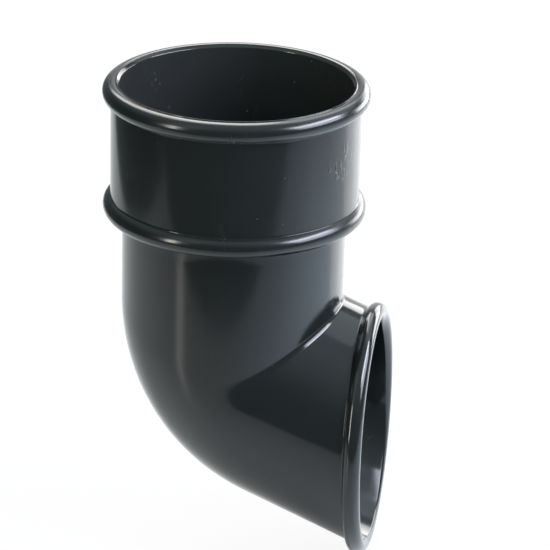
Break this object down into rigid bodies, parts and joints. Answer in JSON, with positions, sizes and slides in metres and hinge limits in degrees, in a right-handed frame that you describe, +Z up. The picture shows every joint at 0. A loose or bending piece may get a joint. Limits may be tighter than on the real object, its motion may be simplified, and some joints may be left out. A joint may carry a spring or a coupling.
{
  "type": "downpipe shoe",
  "caption": "Downpipe shoe: a beaded pipe socket on a round bent body, with a sleeve that throws rainwater forward through an upright oval mouth with a round bead.",
  "frame": {"origin": "centre of the pipe stop at the bottom of the socket", "axes": "+Z up the pipe and out of the socket, +X the way the water leaves, +Y across"},
  "size_m": [0.0848, 0.079, 0.1461],
  "materials": {
    "black_pvc": "gloss"
  },
  "bodies": {
    "root": {"downpipe_shoe": "black_pvc"}
  },
  "joints": []
}
